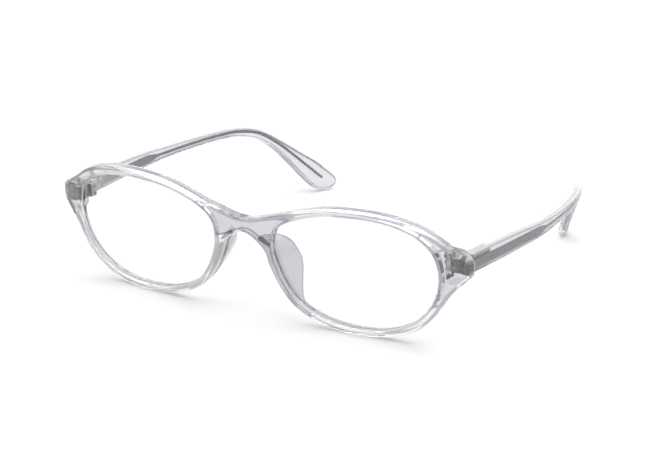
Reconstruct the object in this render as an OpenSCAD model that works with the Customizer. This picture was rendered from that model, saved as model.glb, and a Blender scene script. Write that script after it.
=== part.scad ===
// Clear plastic eyeglasses with two folding temples.
// +X is the wearer's left, the front faces -Y and the temples run back along +Y.
// The rims and the temple tips stand on z = 0.

/* [Lenses] */
// Width of each lens opening
lens_w = 51.3; // [46:0.1:56]
// Height of each lens opening
lens_h = 34.2; // [30:0.1:40]
// Distance between the two lens openings
lens_gap = 19.4; // [16:0.2:24]
// Thickness of each lens
lens_t = 1.8; // [1.4:0.1:2.2]
// Extra doming of a lens beyond the curve of the front
lens_dome = 0.7; // [0:0.1:1.2]
// How far a lens reaches into its groove
lens_bite = 0.6; // [0.3:0.05:0.8]

/* [Front] */
// Depth of the rims from front to back
rim_t = 4; // [3.6:0.1:5]
// Width of the rim above the lens
rim_top = 2.4; // [2:0.1:4]
// Width of the rim below the lens
rim_bottom = 2.2; // [2:0.1:4]
// Width of the rim beside the nose
rim_nose = 2.2; // [2:0.1:4]
// Radius of the sideways curve of the whole front
front_curve = 400; // [250:10:900]
// Forward lean of the front in degrees
front_lean = 8; // [4:0.5:12]
// Height of the bridge at its middle
bridge_h = 4.7; // [4:0.1:7]
// How far the top of the bridge lies above the middle of the lenses
bridge_rise = 11.8; // [10:0.1:14]
// Rounding of the outer edges of the front
edge_r = 1; // [0.5:0.1:1.2]
// Rounding of the edges round each lens
lip_r = 0.4; // [0.2:0.05:0.5]

/* [End pieces] */
// Reach of an end piece beyond the lens opening
end_reach = 8.8; // [8.2:0.1:9.8]
// Height of the outer face of an end piece
end_h = 5.6; // [5:0.1:7]
// How far the end piece's middle lies above the middle of the lenses
end_rise = 5.2; // [4:0.1:7]
// How far an end piece curls back beyond the curve of the front
end_curl = 2.4; // [1:0.1:3]
// Depth of an end piece at its outer face
end_t = 3.95; // [3.6:0.05:5]
// How far the outer face of an end piece runs inward towards the back
end_draft = 1.4; // [0:0.1:1.6]

/* [Temples] */
// Length of a temple from the end piece to its tip, measured straight back
temple_l = 122.2; // [110:0.2:130]
// Thickness of a temple at its hinge
temple_t = 3.6; // [3.2:0.1:4.4]
// Thickness of a temple at its tip
tip_t = 3; // [2.4:0.1:3.6]
// How far a temple bows outward
temple_bow = 3.35; // [2:0.05:5]
// How far a temple's tip turns inward from the line of the hinge
temple_turn = 22; // [16:0.5:26]
// Height of a temple at its hinge
temple_h = 5.8; // [5.4:0.1:7]
// Height of a temple along its slim middle
temple_slim = 2.75; // [2.4:0.05:3.6]
// Height of the broad end of a temple
tip_h = 7.8; // [6:0.1:9]
// Rounding of a temple's edges
temple_r = 1.1; // [0.6:0.1:1.3]

/* [Core wires] */
// Diameter of the wire inside a temple
wire_d = 1; // [0.8:0.05:1.3]
// Height of the flat part of the wire near the hinge
blade_h = 2.7; // [2:0.1:3]
// Thickness of the flat part of the wire
blade_t = 1; // [0.8:0.1:1.2]
// Length of the flat part of the wire
blade_l = 39; // [25:1:50]
// Clear length of temple beyond the end of the wire
wire_short = 4.6; // [3:0.1:12]

/* [Hinges] */
// Height of the hinge
hinge_h = 4.2; // [3.6:0.1:4.6]
// Diameter of the hinge knuckles
knuckle_d = 2.7; // [2.4:0.1:3]
// Height of the middle knuckle
knuckle_mid = 1.5; // [1.2:0.1:1.8]
// Distance of the hinge pin behind the joint of front and temple
pin_back = 2.3; // [2:0.1:3]
// Diameter of the hinge screw
screw_d = 1.4; // [1.2:0.1:1.6]
// Diameter of the head of the hinge screw
screw_head_d = 2.1; // [1.8:0.1:2.4]
// Depth of the hinge block inside the end piece
anchor_t = 2.6; // [2:0.1:3]
// Width of the hinge block
anchor_w = 4.2; // [3.6:0.1:4.6]
// Length of the hinge leaf inside the temple
leaf_l = 11; // [8:0.5:14]
// Thickness of the hinge leaf
leaf_t = 0.9; // [0.8:0.05:1.2]

/* [Nose pads] */
// How far a nose pad stands behind the rim
pad_depth = 9.5; // [6:0.1:10.5]
// Thickness of a nose pad
pad_t = 2.2; // [1.6:0.1:2.8]
// Outward splay of the nose pads in degrees
pad_splay = 12; // [5:1:30]

/* [Clearances] */
// Gap between front and temple at the joint
joint_gap = 0.2; // [0.1:0.05:0.4]
// Gap round pieces that are set into the plastic
set_gap = 0.08; // [0.05:0.01:0.15]
// Gap round the hinge screw in the temple's knuckle
run_gap = 0.05; // [0.03:0.01:0.1]

/* [Hidden] */
$fn = 48;

// Steps between two points of an outline, and of a temple's line
outline_steps = 4;
temple_steps = 3;

// Lens opening: its middle, and the points of its edge as shares of half its width and height
lens_x = lens_gap / 2 + lens_w / 2;
lens_share = [
    [-0.95, 0.56],
    [-0.825, 0.715],
    [-0.6, 0.86],
    [-0.335, 0.96],
    [-0.045, 1],
    [0.25, 0.995],
    [0.53, 0.93],
    [0.775, 0.785],
    [0.93, 0.57],
    [0.99, 0.305],
    [0.995, 0.01],
    [0.945, -0.262],
    [0.833, -0.535],
    [0.655, -0.775],
    [0.4, -0.947],
    [0.11, -1],
    [-0.177, -0.98],
    [-0.458, -0.877],
    [-0.7, -0.678],
    [-0.855, -0.4],
    [-0.953, -0.082],
    [-0.996, 0.164],
    [-0.992, 0.38]
];
lens_points = [for (s = lens_share) [lens_x + s[0] * lens_w / 2, s[1] * lens_h / 2]];
outline_count = len(lens_points);
station_count = outline_count * outline_steps;

// Outline of the front beside each lens point, starting at the top of the bridge
end_x = lens_gap / 2 + lens_w + end_reach;
end_top = end_rise + end_h / 2;
end_foot = end_rise - end_h / 2;
bridge_foot = bridge_rise - bridge_h;
nose_x = lens_gap / 2;
widths = [
    0, 0, rim_top, rim_top, rim_top, rim_top * 1.05, rim_top * 1.15, rim_top * 1.4,
    0, 0, 0, 0,
    rim_bottom * 1.25, rim_bottom * 1.2, rim_bottom, rim_bottom, rim_bottom, rim_bottom,
    rim_nose, rim_nose, rim_nose * 1.1, 0, 0
];
outline_points = [
    for (i = [0:outline_count - 1])
        widths[i] > 0
        ? lens_points[i] + widths[i] * turn_left(lens_slope(i))
        : i == 0 ? [0, bridge_rise]
        : i == 1 ? [nose_x - rim_top * 0.62, bridge_rise + rim_top * 0.7]
        : i == 8 ? [end_x - end_reach * 0.73, end_top + end_h * 0.73]
        : i == 9 ? [end_x, end_top - end_h * 0.035]
        : i == 10 ? [end_x, end_foot + end_h * 0.12]
        : i == 11 ? [end_x - end_reach * 0.62, end_foot - end_h * 0.9]
        : i == 21 ? [nose_x - rim_nose * 1.5, bridge_foot - bridge_h * 0.81]
        : [0, bridge_foot]
];
// How softly the outline turns at each of its points
softness = [for (i = [0:outline_count - 1]) i == 9 || i == 10 ? 0.45 : 1];

function mix(a, b, t) = a + (b - a) * t;
function ease(t) = let (c = min(1, max(0, t))) c * c * (3 - 2 * c);
function turn_left(v) = [-v[1], v[0]] / norm(v);
function flip(p) = [-p[0], p[1]];
function curve(p, q, m, n, t) =
    (2 * t ^ 3 - 3 * t ^ 2 + 1) * p + (t ^ 3 - 2 * t ^ 2 + t) * m
    + (3 * t ^ 2 - 2 * t ^ 3) * q + (t ^ 3 - t ^ 2) * n;
function curve_slope(p, q, m, n, t) =
    (6 * t ^ 2 - 6 * t) * (p - q) + (3 * t ^ 2 - 4 * t + 1) * m + (3 * t ^ 2 - 2 * t) * n;

// Closed curve through the lens points
function lens_point(i) = lens_points[(i + outline_count) % outline_count];
function lens_slope(i) = (lens_point(i + 1) - lens_point(i - 1)) / 2;
function lens_at(i, t) = curve(lens_point(i), lens_point(i + 1), lens_slope(i), lens_slope(i + 1), t);
function lens_slope_at(i, t) =
    curve_slope(lens_point(i), lens_point(i + 1), lens_slope(i), lens_slope(i + 1), t);

// Open curve through the outline points, level where it meets the middle of the bridge
function outline_point(i) =
    i < 0 ? flip(outline_points[1])
    : i >= outline_count ? flip(outline_points[outline_count - 2])
    : outline_points[i];
function outline_slope(i) = softness[i] * (outline_point(i + 1) - outline_point(i - 1)) / 2;
function outline_at(i, t) =
    curve(outline_point(i), outline_point(i + 1), outline_slope(i), outline_slope(i + 1), t);
function outline_slope_at(i, t) =
    curve_slope(outline_point(i), outline_point(i + 1), outline_slope(i), outline_slope(i + 1), t);

// Each station: lens edge, its outward direction, outline and its outward direction
stations = [
    for (k = [0:station_count - 1])
        let (i = floor(k / outline_steps), t = (k % outline_steps) / outline_steps)
        let (middle = i == outline_count - 1)
        [
            lens_at(i, t),
            turn_left(lens_slope_at(i, t)),
            middle
            ? [0, t == 0 ? bridge_foot : mix(bridge_foot + edge_r, bridge_rise - edge_r, t)]
            : outline_at(i, t),
            middle
            ? [0, t == 0 ? -1 : 0]
            : turn_left(outline_slope_at(i, t))
        ]
];

// Place of a point of the front: x, height v before the lean, depth d behind the front face
curl_lead = 3;
end_curl_start = end_x - end_reach - curl_lead;
function bend(x) =
    front_curve - sqrt(front_curve ^ 2 - x ^ 2)
    + end_curl * (max(0, x - end_curl_start) / (end_x - end_curl_start)) ^ 2;
function lean(x, v, d) = [
    x,
    (bend(x) + d) * cos(front_lean) - v * sin(front_lean),
    v * cos(front_lean) + (bend(x) + d) * sin(front_lean)
];
// The back of an end piece lies in one upright plane, square to the temple
end_back = lean(end_x, end_rise, end_t)[1];
shelf_start = end_x - end_reach + lip_r;
shelf_run = 1.2;
shelf_reach = 6.2;
shelf_fade = 2.8;
function depth(x, v) =
    let (plane = (end_back + v * sin(front_lean)) / cos(front_lean) - bend(x))
    let (along = ease((x - shelf_start) / shelf_run))
    let (across = ease((shelf_reach - abs(v - end_rise)) / shelf_fade))
    mix(rim_t, plane, along * across);

// Lens groove
groove_front = (rim_t - lens_t) / 2 - set_gap;
groove_back = groove_front + lens_t + 2 * set_gap;
groove_d = lens_bite + set_gap;

// One cross-section of a rim: side (0 lens, 1 outline, 2 between), inset, and depth from the
// front or back
round_in = 0.293;
shelf_share = 0.2;
section = [
    [0, lip_r, 0, 0],
    [0, lip_r * round_in, 0, lip_r * round_in],
    [0, 0, 0, lip_r],
    [0, 0, 0, groove_front],
    [0, groove_d, 0, groove_front],
    [0, groove_d, 0, groove_back],
    [0, 0, 0, groove_back],
    [0, 0, 1, -lip_r],
    [0, lip_r * round_in, 1, -lip_r * round_in],
    [0, lip_r, 1, 0],
    [2, 0, 1, 0],
    [1, edge_r, 1, 0],
    [1, edge_r * round_in, 1, -edge_r * round_in],
    [1, 0, 1, -edge_r],
    [1, 0, 0, edge_r],
    [1, edge_r * round_in, 0, edge_r * round_in],
    [1, edge_r, 0, 0]
];
section_count = len(section);
// Towards the back the outer face of an end piece runs inward and down
draft_way = [1, 0.25];
function draft(s) = end_draft * ease(1 + (s[2][0] - end_x) / end_reach) * draft_way;
function rim_point(s, side, inset, drawn) =
    side == 0 ? s[0] + inset * s[1]
    : side == 1 ? s[2] - inset * s[3] - drawn
    : mix(rim_point(s, 0, lip_r, drawn), rim_point(s, 1, edge_r, drawn), shelf_share);
half_front = [
    for (s = stations)
        for (row = section)
            let (p = rim_point(s, row[0], row[1], row[2] * draft(s)))
            lean(p[0], p[1], row[2] * depth(p[0], p[1]) + row[3])
];
front_lift = -min([for (p = half_front) p[2]]);
hinge_z = lean(end_x, end_rise, end_t)[2] + front_lift;

// Temple line: share of the length, bow, turn, fall, and reach above and below the wire
joint_inset = 0.3;
joint_y = end_back + joint_gap;
joint_x = end_x - end_draft - joint_inset - temple_t / 2;
blade_fall = 0.77;
rise_h = temple_h * 0.6;
base_h = temple_h * 0.4;
slim_up = temple_slim * 0.52;
slim_down = temple_slim * 0.48;
temple_rows = [
    [0, 0, 0, 0, rise_h, base_h],
    [0.115, 0.39, 0, -0.013, rise_h * 0.98, base_h * 1.02],
    [0.229, 0.72, 0, -0.022, mix(slim_up, rise_h, 0.8), mix(slim_down, base_h, 0.9)],
    [0.335, 0.93, 0, -0.025, mix(slim_up, rise_h, 0.5), mix(slim_down, base_h, 0.68)],
    [0.437, 0.78, 0, -0.031, mix(slim_up, rise_h, 0.28), mix(slim_down, base_h, 0.35)],
    [0.545, 0.39, 0, -0.04, slim_up * 1.12, slim_down * 1.2],
    [0.632, 0, -0.03, -0.047, slim_up, slim_down * 1.17],
    [0.699, 0, -0.14, -0.042, slim_up * 0.85, slim_down * 1.3],
    [0.766, 0, -0.28, 0.036, slim_up * 0.8, slim_down * 1.58],
    [0.826, 0, -0.44, 0.245, tip_h * 0.17, tip_h * 0.3],
    [0.88, 0, -0.62, 0.516, tip_h * 0.3, tip_h * 0.45],
    [0.925, 0, -0.765, 0.75, tip_h * 0.45, tip_h * 0.59],
    [0.958, 0, -0.86, 0.905, tip_h * 0.43, tip_h * 0.57],
    [1, 0, -1, 1, tip_h * 0.25, tip_h * 0.37]
];
tip_lift = 2.45;
tip_fall = hinge_z - blade_fall - tip_lift;
temple_line = [
    for (r = temple_rows)
        [
            joint_x + r[1] * temple_bow + r[2] * temple_turn,
            joint_y + r[0] * temple_l,
            hinge_z - blade_fall - r[3] * tip_fall,
            r[4],
            r[5]
        ]
];
line_count = len(temple_line);
function line_slope(i) =
    i == 0 ? temple_line[1] - temple_line[0]
    : i == line_count - 1 ? temple_line[i] - temple_line[i - 1]
    : (temple_line[i + 1] - temple_line[i - 1]) / 2;
function line_at(i, t) =
    curve(temple_line[i], temple_line[i + 1], line_slope(i), line_slope(i + 1), t);
function line_slope_at(i, t) =
    curve_slope(temple_line[i], temple_line[i + 1], line_slope(i), line_slope(i + 1), t);
line_steps = [for (i = [0:line_count - 2]) for (k = [0:temple_steps - 1]) [i, k / temple_steps]];

// Each temple station: place, sideways direction, upward direction, reach up, reach down
function frame_at(i, t) =
    let (p = line_at(i, t), d = line_slope_at(i, t))
    let (forward = [d[0], d[1], d[2]] / norm([d[0], d[1], d[2]]))
    let (up = [0, -forward[2], forward[1]] / norm([forward[2], forward[1]]))
    [[p[0], p[1], p[2]], cross(forward, up), up, p[3], p[4]];
temple_stations = concat(
    [for (s = line_steps) frame_at(s[0], s[1])],
    [frame_at(line_count - 2, 1)]
);
temple_count = len(temple_stations);
function travel(k) = k == 0 ? 0 : travel(k - 1) + norm(temple_stations[k][0] - temple_stations[k - 1][0]);
travels = [for (k = [0:temple_count - 1]) travel(k)];
temple_end = travels[temple_count - 1];
// The broad end rounds off over its last stretch
tip_round = tip_h * 0.55;
function tip_share(k) =
    let (past = max(0, travels[k] - temple_end + tip_round) / tip_round)
    sqrt(max(0.02, 1 - past ^ 2));

// Rounded oblong with two steps at each corner: half width, reach up, reach down, rounding
corner_steps = 2;
function oblong(b, up, down, r) = [
    for (c = [0:3])
        for (s = [0:corner_steps])
            let (a = 90 * c + 90 * s / corner_steps)
            let (x = (c == 0 || c == 3 ? 1 : -1) * (b - r), z = c < 2 ? up - r : r - down)
            [x + r * cos(a), z + r * sin(a)]
];
ring_count = 4 * (corner_steps + 1);
function ring(k, shape) =
    [for (q = shape) temple_stations[k][0] + q[0] * temple_stations[k][1] + q[1] * temple_stations[k][2]];
function skin_ring(k) =
    let (s = temple_stations[k], m = tip_share(k))
    let (b = mix(temple_t, tip_t, travels[k] / temple_end) / 2 * mix(0.35, 1, m))
    let (up = s[3] * m, down = s[4] * m)
    ring(k, oblong(b, up, down, min(temple_r, b * 0.8, (up + down) * 0.4)));

// The wire inside: a flat blade that narrows to a round wire
blade_taper = 7;
wire_end = [for (k = [0:temple_count - 1]) if (travels[k] < temple_end - wire_short - tip_round / 3) k];
wire_count = len(wire_end);
function wire_ring(k, gap) =
    let (m = ease((travels[k] - blade_l) / blade_taper))
    let (b = mix(blade_t, wire_d, m) / 2, h = mix(blade_h, wire_d, m) / 2)
    ring(k, oblong(b + gap, h + gap, h + gap, min(mix(0.2, wire_d / 2 - 0.05, m), b - 0.05) + gap));

skin_points = [for (k = [0:temple_count - 1]) each skin_ring(k)];
bore_points = [for (k = [0:wire_count - 1]) each wire_ring(k, set_gap)];
core_points = [for (k = [0:wire_count - 1]) each wire_ring(k, 0)];

// The fall of the temple is stretched to bring its tip down to z = 0
tip_low = min([for (p = skin_points) p[2]]);
fall_scale = hinge_z / (hinge_z - tip_low);
// The origin lies under the middle of the bounding box
middle_y = (min([for (p = half_front) p[1]]) + max([for (p = skin_points) p[1]])) / 2;
function place_temple(list) = [for (p = list) [p[0], p[1] - middle_y, hinge_z - (hinge_z - p[2]) * fall_scale]];

// Faces of a tube of rings, from ring a to ring b, with points starting at index base
function tube(base, count, rings) = [
    for (k = [0:rings - 2])
        for (j = [0:count - 1])
            let (n = (j + 1) % count, a = base + k * count, b = base + (k + 1) * count)
            each [[a + j, a + n, b + n], [a + j, b + n, b + j]]
];
function turned(faces) = [for (f = faces) [f[2], f[1], f[0]]];
function fan(base, count) = [for (j = [1:count - 2]) [base, base + j + 1, base + j]];

// Hinge places
knuckle_inset = 0.2;
pin_x = joint_x - temple_t / 2 - knuckle_d / 2 - knuckle_inset;
pin_y = end_back + pin_back - middle_y;
back_y = end_back - middle_y;
leaf_angle = atan2(
    temple_stations[temple_steps][0][0] - joint_x,
    temple_stations[temple_steps][0][1] - joint_y
);
knuckle_gap = 0.08;
anchor_wall = 1.5;
anchor_x = end_x - end_draft - anchor_wall - anchor_w;
base_gap = 0.1;

module both(side) {
    if (side > 0)
        children();
    else
        mirror([1, 0, 0])
            children();
}

// Front: both rims, the bridge and the end pieces in one moulding
module front_moulding() {
    count = len(half_front);
    half_faces = [
        for (k = [0:station_count - 1])
            for (j = [0:section_count - 1])
                let (n = (j + 1) % section_count)
                let (a = k * section_count, b = ((k + 1) % station_count) * section_count)
                for (f = [[a + j, b + n, a + n], [a + j, b + j, b + n]])
                    if (max([for (q = f) half_front[q][0]]) > 0)
                        f
    ];
    other_faces = [
        for (f = half_faces)
            [for (q = [f[2], f[1], f[0]]) half_front[q][0] == 0 ? q : q + count]
    ];
    translate([0, -middle_y, front_lift])
        polyhedron(
            points = concat(half_front, [for (p = half_front) [-p[0], p[1], p[2]]]),
            faces = concat(half_faces, other_faces)
        );
}

// Seat in an end piece for the hinge block
module anchor_seat() {
    gap = set_gap;
    translate([anchor_x - gap, back_y - anchor_t - gap, hinge_z - hinge_h / 2 - gap])
        cube([anchor_w + 2 * gap, 2 * anchor_t, hinge_h + 2 * gap]);
}

module front() {
    color("aliceblue", 0.5)
        difference() {
            front_moulding();
            for (side = [1, -1])
                both(side)
                    anchor_seat();
        }
}

// Lens: rings from the grooved edge to the middle, on both faces
module lens(side) {
    shares = [1, 0.75, 0.4];
    centre = [lens_x, 0];
    edge = [for (s = stations) s[0] + lens_bite * s[1]];
    front_rings = [
        for (h = shares)
            for (p = edge)
                let (q = mix(centre, p, h))
                lean(q[0], q[1], groove_front + set_gap - lens_dome * (1 - h ^ 2))
    ];
    back_rings = [
        for (n = [len(shares) - 1:-1:0])
            let (h = shares[n])
            for (p = edge)
                let (q = mix(centre, p, h))
                lean(q[0], q[1], groove_front + set_gap + lens_t - lens_dome * (1 - h ^ 2))
    ];
    count = len(front_rings);
    middles = [
        lean(centre[0], centre[1], groove_front + set_gap - lens_dome),
        lean(centre[0], centre[1], groove_front + set_gap + lens_t - lens_dome)
    ];
    last = count - station_count;
    walls = tube(0, station_count, 2 * len(shares));
    // The edge joins the first front ring to the last back ring
    edge_faces = [
        for (j = [0:station_count - 1])
            let (n = (j + 1) % station_count, b = 2 * count - station_count)
            each [[b + j, b + n, n], [b + j, n, j]]
    ];
    inner = [
        for (f = walls)
            if (!(min(f) < count && max(f) >= count))
                f
    ];
    caps = [
        for (j = [0:station_count - 1])
            let (n = (j + 1) % station_count)
            each [[last + j, last + n, 2 * count], [count + n, count + j, 2 * count + 1]]
    ];
    color("lightcyan", 0.3)
        both(side)
            translate([0, -middle_y, front_lift])
                polyhedron(
                    points = concat(front_rings, back_rings, middles),
                    faces = turned(concat(inner, edge_faces, caps))
                );
}

// Nose pad: a rounded fin that stands on the back of the rim beside the nose, deepest near its top
pad_from = 17.3 * outline_steps;
pad_to = 21.4 * outline_steps;
pad_peak = 0.62;
pad_steps = 16;
// The rings crowd together towards the top, which rounds off quickly
pad_crowding = 1.6;
module nose_pad(side) {
    rings = [
        for (k = [0:pad_steps])
            let (share = 1 - (1 - k / pad_steps) ^ pad_crowding)
            let (s = mix(pad_from, pad_to, share), i = floor(s / outline_steps))
            let (p = outline_at(i, s / outline_steps - i))
            let (out = turn_left(outline_slope_at(i, s / outline_steps - i)))
            let (past = max(0, share - pad_peak) / (1 - pad_peak))
            let (swell = ease(share / pad_peak) * sqrt(1 - past ^ 2))
            let (reach = max(0.4, pad_depth * swell), half = pad_t / 2 * mix(0.45, 1, swell))
            let (foot = p - out * 0.75)
            let (r = min(half * 0.9, reach * 0.45))
            for (c = [
                [-half, 0],
                [half, 0],
                [half, reach - r],
                [half * 0.7, reach - r * 0.3],
                [0, reach],
                [-half * 0.7, reach - r * 0.3],
                [-half, reach - r]
            ])
                let (q = foot + out * -c[0])
                let (d = c[1] + 0.02)
                lean(q[0] + d * sin(pad_splay), q[1], 0)
                + (lean(0, 0, rim_t + d * cos(pad_splay)) - lean(0, 0, 0))
                + [0, (bend(q[0]) - bend(q[0] + d * sin(pad_splay))) * cos(front_lean), 0]
    ];
    count = 7;
    color("aliceblue", 0.5)
        both(side)
            translate([0, -middle_y, front_lift])
                polyhedron(
                    points = rings,
                    faces = concat(
                        tube(0, count, pad_steps + 1),
                        fan(0, count),
                        turned(fan(pad_steps * count, count))
                    )
                );
}

module barrel(low, high, bore) {
    translate([pin_x, pin_y, hinge_z + low])
        difference() {
            cylinder(d = knuckle_d, h = high - low);
            translate([0, 0, -1])
                cylinder(r = bore, h = high - low + 2);
        }
}

// Front half of a hinge: the block in the end piece, its base behind it and two outer knuckles
module front_hinge(side) {
    outer = knuckle_mid / 2 + knuckle_gap;
    bore = screw_d / 2 + 0.02;
    arm_w = knuckle_d * 0.8;
    base_back = pin_y - knuckle_d / 2 - 0.25;
    base_w = knuckle_d - 0.15;
    neck_w = pin_x - knuckle_d / 2 + base_w - anchor_x;
    color("silver")
        both(side)
            difference() {
                union() {
                    translate([anchor_x, back_y - anchor_t, hinge_z - hinge_h / 2])
                        cube([anchor_w, anchor_t, hinge_h]);
                    translate([anchor_x, back_y - anchor_t / 2, hinge_z - hinge_h / 2])
                        cube([neck_w, base_back - back_y + anchor_t / 2, hinge_h]);
                    translate([pin_x - knuckle_d / 2, back_y + base_gap, hinge_z - hinge_h / 2])
                        cube([base_w, base_back - back_y - base_gap, hinge_h]);
                    for (low = [-hinge_h / 2, outer]) {
                        translate([pin_x - arm_w / 2, base_back - 0.5, hinge_z + low])
                            cube([arm_w, pin_y - base_back + 0.5, hinge_h / 2 - outer]);
                        translate([pin_x, pin_y, hinge_z + low])
                            cylinder(d = knuckle_d, h = hinge_h / 2 - outer);
                    }
                }
                translate([pin_x, pin_y, hinge_z - hinge_h])
                    cylinder(r = bore, h = 2 * hinge_h);
            }
}

// Temple half of a hinge: the leaf on the inside of the temple and the middle knuckle
module temple_hinge(side) {
    half_mid = knuckle_mid / 2;
    color("silver")
        both(side)
            difference() {
                union() {
                    leaf(0);
                    translate([pin_x, pin_y, hinge_z - half_mid])
                        cylinder(d = knuckle_d, h = knuckle_mid);
                    translate([pin_x, pin_y - 0.6, hinge_z - half_mid])
                        cube([joint_x - pin_x - temple_t / 2 + leaf_t / 2, 1.6, knuckle_mid]);
                }
                translate([pin_x, pin_y, hinge_z - hinge_h])
                    cylinder(r = screw_d / 2 + run_gap, h = 2 * hinge_h);
            }
}

module leaf(gap) {
    translate([joint_x, joint_y - middle_y, hinge_z])
        rotate([0, 0, -leaf_angle])
            translate([-temple_t / 2 - 3 * gap, 0.3 - gap, -hinge_h / 2 - gap])
                cube([leaf_t + 4 * gap, leaf_l + 2 * gap, hinge_h + 2 * gap]);
}

// Hinge screw with a slotted head on the upper knuckle
module hinge_screw(side) {
    head_h = 0.6;
    slot_w = 0.4;
    color("gray")
        both(side)
            translate([pin_x, pin_y, hinge_z])
                difference() {
                    union() {
                        translate([0, 0, -hinge_h / 2])
                            cylinder(d = screw_d, h = hinge_h);
                        translate([0, 0, hinge_h / 2])
                            cylinder(d = screw_head_d, h = head_h);
                    }
                    translate([-screw_head_d, -slot_w / 2, hinge_h / 2 + head_h / 2])
                        cube([2 * screw_head_d, slot_w, head_h]);
                }
}

// Temple: a swept bar with a long bore for the wire and a seat for the hinge leaf
module temple(side) {
    bore_base = len(skin_points);
    last_skin = (temple_count - 1) * ring_count;
    last_bore = bore_base + (wire_count - 1) * ring_count;
    mouth = [
        for (j = [0:ring_count - 1])
            let (n = (j + 1) % ring_count)
            each [[j, bore_base + j, bore_base + n], [j, bore_base + n, n]]
    ];
    color("aliceblue", 0.5)
        both(side)
            difference() {
                polyhedron(
                    points = place_temple(concat(skin_points, bore_points)),
                    faces = concat(
                        turned(tube(0, ring_count, temple_count)),
                        tube(bore_base, ring_count, wire_count),
                        turned(mouth),
                        fan(last_skin, ring_count),
                        turned(fan(last_bore, ring_count))
                    )
                );
                leaf(set_gap);
            }
}

// Metal core of a temple
module core_wire(side) {
    color("gray")
        both(side)
            polyhedron(
                points = place_temple(core_points),
                faces = concat(
                    turned(tube(0, ring_count, wire_count)),
                    turned(fan(0, ring_count)),
                    fan((wire_count - 1) * ring_count, ring_count)
                )
            );
}

front();
lens(1);  // lens_left
lens(-1);  // lens_right
nose_pad(1);  // nose_pad_left
nose_pad(-1);  // nose_pad_right
front_hinge(1);  // front_hinge_left
front_hinge(-1);  // front_hinge_right
hinge_screw(1);  // hinge_screw_left
hinge_screw(-1);  // hinge_screw_right
temple(1);  // temple_left
temple(-1);  // temple_right
core_wire(1);  // core_wire_left
core_wire(-1);  // core_wire_right
temple_hinge(1);  // temple_hinge_left
temple_hinge(-1);  // temple_hinge_right
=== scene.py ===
"""Clear plastic eyeglasses standing on a white floor.

The plastic, the lenses and the core wires are smooth meshes worked out from the frame's sizes.
The hinges and their screws are the frame's own pieces with metal on them. Shapes are worked out
in millimetres, and new_object turns them into metres. Left is the wearer's left, at +X.
"""

import math
from collections import namedtuple

import bmesh
import bpy
import numpy as np
from mathutils import Matrix, Vector


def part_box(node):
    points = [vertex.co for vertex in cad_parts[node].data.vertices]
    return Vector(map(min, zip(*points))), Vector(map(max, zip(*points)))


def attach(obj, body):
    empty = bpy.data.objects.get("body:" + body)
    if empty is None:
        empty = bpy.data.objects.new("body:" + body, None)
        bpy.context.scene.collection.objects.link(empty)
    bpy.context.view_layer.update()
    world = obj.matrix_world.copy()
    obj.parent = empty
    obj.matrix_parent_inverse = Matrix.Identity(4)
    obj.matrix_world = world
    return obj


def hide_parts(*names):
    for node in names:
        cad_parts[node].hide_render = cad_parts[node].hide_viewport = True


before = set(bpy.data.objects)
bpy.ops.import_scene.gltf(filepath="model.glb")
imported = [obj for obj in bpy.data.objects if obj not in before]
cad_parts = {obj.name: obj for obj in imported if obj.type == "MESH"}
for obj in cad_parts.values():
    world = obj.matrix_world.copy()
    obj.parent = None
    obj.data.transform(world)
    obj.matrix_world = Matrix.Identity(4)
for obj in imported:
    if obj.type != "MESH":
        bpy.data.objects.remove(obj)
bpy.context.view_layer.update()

MM = 0.001

# Lens openings and the gap between them, and a lens's thickness, dome and bite into its groove
LENS_W = 51.3
LENS_H = 34.2
LENS_GAP = 19.4
LENS_T = 1.8
LENS_DOME = 0.7
LENS_BITE = 0.6
# Edge of a lens opening, as shares of half its width and half its height
LENS_SHARE = (
    (-0.95, 0.56), (-0.825, 0.715), (-0.6, 0.86), (-0.335, 0.96), (-0.045, 1), (0.25, 0.995),
    (0.53, 0.93), (0.775, 0.785), (0.93, 0.57), (0.99, 0.305), (0.995, 0.01), (0.945, -0.262),
    (0.833, -0.535), (0.655, -0.775), (0.4, -0.947), (0.11, -1), (-0.177, -0.98),
    (-0.458, -0.877), (-0.7, -0.678), (-0.855, -0.4), (-0.953, -0.082), (-0.996, 0.164),
    (-0.992, 0.38),
)

# Front: thickness, widths of a rim, curve and lean, bridge, rounding of the outline and of the
# openings, and the play of a lens in its groove
RIM_T = 4
RIM_TOP = 2.4
RIM_BOTTOM = 2.2
RIM_NOSE = 2.2
FRONT_CURVE = 400
FRONT_LEAN = math.radians(8)
BRIDGE_H = 4.7
BRIDGE_RISE = 11.8
EDGE_R = 1
LIP_R = 0.4
SET_GAP = 0.08

# End pieces: size, curl to the back, draft towards the back, and the part that thickens at the
# hinge
END_REACH = 8.8
END_H = 5.6
END_RISE = 5.2
END_CURL = 2.4
END_T = 3.95
END_DRAFT = 1.4
DRAFT_WAY = np.array([1, 0.25])
CURL_LEAD = 3
SHELF_RUN = 1.2
SHELF_REACH = 6.2
SHELF_FADE = 2.8
# The outline's points at the outer corners of an end piece, and how tightly it turns there
END_CORNERS = [9, 10]
CORNER_SLOPE = 0.45

# Hinge blocks and leaves set into the plastic
HINGE_H = 4.2
ANCHOR_T = 2.6
ANCHOR_W = 4.2
ANCHOR_WALL = 1.5
LEAF_L = 11
LEAF_T = 0.9
LEAF_START = 0.3
JOINT_GAP = 0.2
JOINT_INSET = 0.3
# The plastic closes round the metal: its seats end just under the metal's faces
SUNK = 0.03

# Temples
TEMPLE_L = 122.2
TEMPLE_T = 3.6
TIP_T = 3
TEMPLE_BOW = 3.35
TEMPLE_TURN = 22
TEMPLE_H = 5.8
TEMPLE_SLIM = 2.75
TIP_H = 7.8
BLADE_FALL = 0.77
TIP_LIFT = 2.45
# Crisper than on the solids, so that the top face shows as in the photograph
TEMPLE_R = 0.5
# An edge is rounded by at most this share of half the width or half the height
ROUND_MOST = 0.8
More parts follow.
